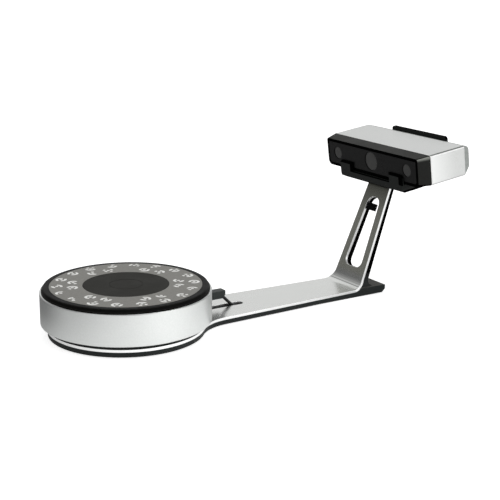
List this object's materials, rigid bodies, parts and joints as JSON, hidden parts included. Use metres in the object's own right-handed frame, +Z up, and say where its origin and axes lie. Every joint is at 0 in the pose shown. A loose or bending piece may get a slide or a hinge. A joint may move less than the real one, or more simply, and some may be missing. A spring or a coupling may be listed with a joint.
{
  "type": "desktop 3d scanner",
  "caption": "Desktop scanner: a motor-driven turntable and a wide head with cameras and a projector on one bent sheet-metal stand.",
  "frame": {"origin": "turntable axis at the level that the stand rests on", "axes": "+X runs along the arm towards the post, +Z is up along the turntable axis, +Y is across"},
  "size_m": [0.5709, 0.21, 0.2128],
  "materials": {
    "satin_aluminium": "fine satin, bead blasted",
    "sleeve_aluminium": "fine satin, bead blasted",
    "liner_plastic": "fine matte",
    "black_plastic": "fine matte",
    "rear_grey": "satin",
    "panel_black": "satin",
    "window_glass": "clear tinted",
    "lens_glass": "coated",
    "platter_black": "fine matte",
    "marker_grey": "printed, matte",
    "pad_grey": "fine matte",
    "foot_rubber": "matte",
    "lead_rubber": "satin",
    "gear_acetal": "natural acetal",
    "brass": "turned",
    "steel": "turned",
    "motor_steel": "drawn can",
    "board_green": "solder mask",
    "alloy_inside": "as machined",
    "button_plastic": "satin"
  },
  "bodies": {
    "stand": {"base_foot": "foot_rubber", "cradle": "black_plastic", "cradle_pads": "foot_rubber", "cradle_screws": "steel", "driver_board": "board_green", "glide_pads": "gear_acetal", "idler_pin": "steel", "lead_plug": "black_plastic", "liner_screws": "steel", "motor_screws": "steel", "parked_plug": "black_plastic", "port_socket": "black_plastic", "rear_foot_pad": "foot_rubber", "spindle_bush": "brass", "stand_liner": "liner_plastic", "stand_plate": "satin_aluminium", "stepper_motor": "motor_steel", "turntable_base": "black_plastic", "turntable_lead": "lead_rubber", "turntable_ring": "satin_aluminium", "turntable_screws": "steel"},
    "platter": {"platter": "platter_black", "marker_ring": "marker_grey", "centre_pad": "pad_grey", "drive_gear": "gear_acetal", "gear_screws": "steel", "platter_spindle": "steel", "spindle_clip": "steel"},
    "idler": {"idler_gear": "gear_acetal"},
    "pinion": {"motor_pinion": "brass", "motor_shaft": "steel"},
    "head": {"head_sleeve": "sleeve_aluminium", "front_bezel": "black_plastic", "front_panel": "panel_black", "camera_windows": "window_glass", "projector_window": "window_glass", "optics_bar": "alloy_inside", "bar_screws": "steel", "projector_body": "alloy_inside", "main_board": "board_green", "rear_cover": "rear_grey", "rear_screws": "steel", "power_jack": "black_plastic", "usb_socket": "motor_steel", "turntable_port": "black_plastic", "button_switch": "black_plastic", "fan_frame": "black_plastic", "tripod_insert": "brass", "camera_left": "black_plastic", "camera_right": "black_plastic", "camera_lens_left": "lens_glass", "camera_lens_right": "lens_glass", "projector_lens": "lens_glass"},
    "fan": {"fan_rotor": "black_plastic"},
    "button": {"power_button": "button_plastic"}
  },
  "joints": [
    {"name": "platter_spin", "type": "hinge", "parent": "stand", "child": "platter", "pos_m": [0, 0, 0.043], "axis": [0, 0, 1], "continuous": true},
    {"name": "idler_spin", "type": "hinge", "parent": "stand", "child": "idler", "pos_m": [-0.06, 0, 0.046], "axis": [0, 0, 1], "continuous": true},
    {"name": "pinion_spin", "type": "hinge", "parent": "stand", "child": "pinion", "pos_m": [-0.06, 0.0225, 0.046], "axis": [0, 0, 1], "continuous": true},
    {"name": "head_lift", "type": "slide", "parent": "stand", "child": "head", "axis": [-0.1349, 0, 0.9909], "range_m": [0, 0.06]},
    {"name": "fan_spin", "type": "hinge", "parent": "head", "child": "fan", "pos_m": [0.44725, 0.03, 0.18874], "axis": [0.9909, 0, 0.1349], "continuous": true},
    {"name": "power_button_press", "type": "slide", "parent": "head", "child": "button", "axis": [-0.9909, 0, -0.1349], "range_m": [0, 0.001], "stiffness_N_per_m": 400, "springref_m": -0.0005}
  ],
  "couplings": [
    {"joint": "idler_spin", "follows": "platter_spin", "ratio": -3},
    {"joint": "pinion_spin", "follows": "platter_spin", "ratio": 6}
  ]
}
